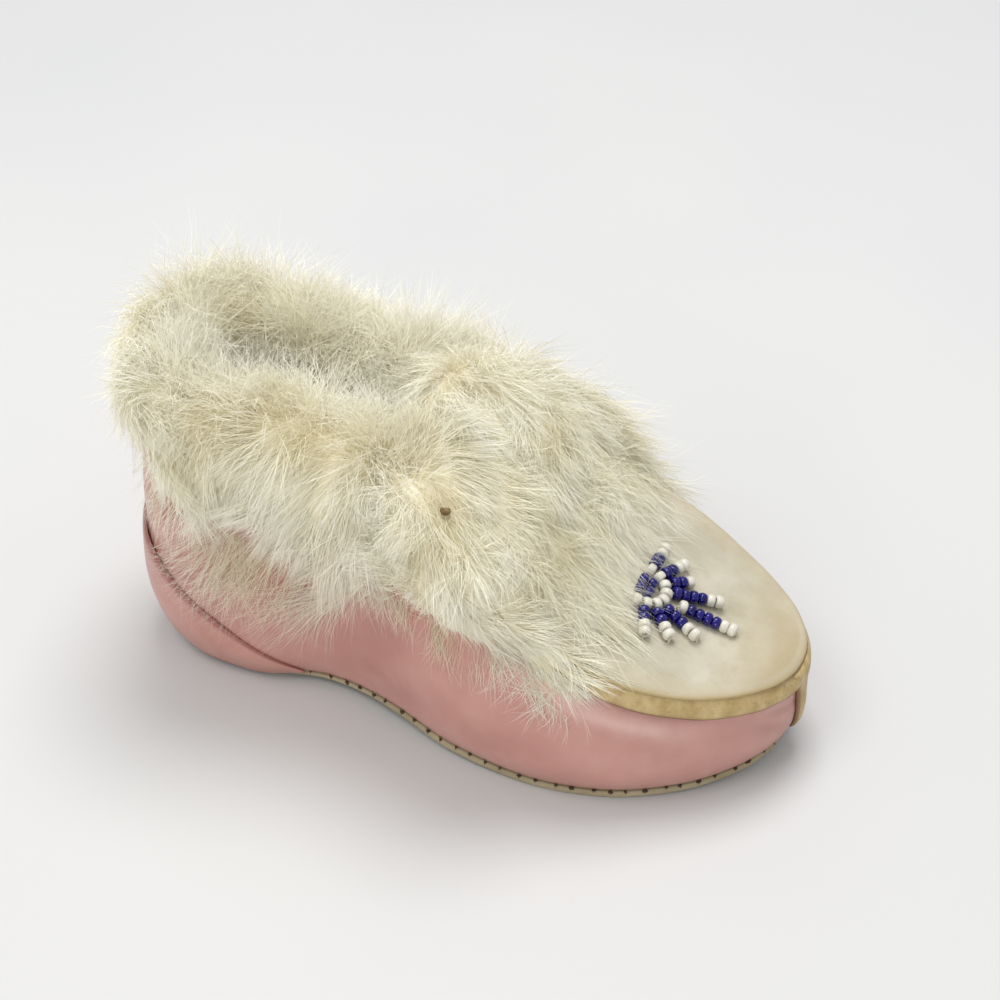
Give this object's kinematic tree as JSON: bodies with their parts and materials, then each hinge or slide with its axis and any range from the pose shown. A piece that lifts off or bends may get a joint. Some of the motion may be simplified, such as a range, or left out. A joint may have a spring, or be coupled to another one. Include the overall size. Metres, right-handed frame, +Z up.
{
  "type": "baby shoe",
  "caption": "Soft leather baby moccasin with a suede apron, rolled binding, beaded half rosette and a deep fur cuff, on a thin flat sole.",
  "frame": {"origin": "middle of the flat spot under the heel, on the floor", "axes": "+X along the sole towards the toe, +Y to the left of the foot, +Z up"},
  "size_m": [0.1301, 0.0713, 0.0709],
  "materials": {
    "pink_leather": "smooth dusty pink garment leather with a soft sheen and fine creases",
    "suede": "cream white suede with a short matt nap",
    "binding_leather": "tan cream rolled leather, slightly worn",
    "sole_leather": "thin cream sole leather, matt, with a raw edge",
    "insole_leather": "plain undyed lining leather, matt",
    "fur": "long soft creamy white fur with yellowish undercoat",
    "blue_glass": "opaque glossy dark blue glass",
    "white_glass": "opaque glossy chalk white glass"
  },
  "bodies": {
    "root": {"outsole": "sole_leather", "insole": "insole_leather", "upper": "pink_leather", "heel_counter": "pink_leather", "toe_strip": "binding_leather", "apron_binding": "binding_leather", "vamp_apron": "suede", "fur_cuff": "fur", "fur_pad": "fur", "bead_blue_01": "blue_glass", "bead_blue_02": "blue_glass", "bead_white_03": "white_glass", "bead_white_04": "white_glass", "bead_blue_05": "blue_glass", "bead_blue_06": "blue_glass", "bead_white_07": "white_glass", "bead_white_08": "white_glass", "bead_blue_09": "blue_glass", "bead_blue_10": "blue_glass", "bead_blue_11": "blue_glass", "bead_white_12": "white_glass", "bead_white_13": "white_glass", "bead_white_14": "white_glass", "bead_blue_15": "blue_glass", "bead_blue_16": "blue_glass", "bead_blue_17": "blue_glass", "bead_blue_18": "blue_glass", "bead_white_19": "white_glass", "bead_white_20": "white_glass", "bead_blue_21": "blue_glass", "bead_blue_22": "blue_glass", "bead_blue_23": "blue_glass", "bead_blue_24": "blue_glass", "bead_white_25": "white_glass", "bead_white_26": "white_glass", "bead_blue_27": "blue_glass", "bead_blue_28": "blue_glass", "bead_white_29": "white_glass", "bead_blue_30": "blue_glass", "bead_blue_31": "blue_glass", "bead_white_32": "white_glass", "bead_white_33": "white_glass", "bead_blue_34": "blue_glass", "bead_blue_35": "blue_glass", "bead_white_36": "white_glass", "bead_white_37": "white_glass", "bead_white_38": "white_glass", "bead_white_39": "white_glass", "bead_white_40": "white_glass", "bead_white_41": "white_glass", "bead_white_42": "white_glass", "bead_white_43": "white_glass", "bead_white_44": "white_glass", "bead_white_45": "white_glass", "bead_blue_46": "blue_glass", "bead_blue_47": "blue_glass", "bead_blue_48": "blue_glass", "bead_blue_49": "blue_glass"}
  },
  "joints": []
}
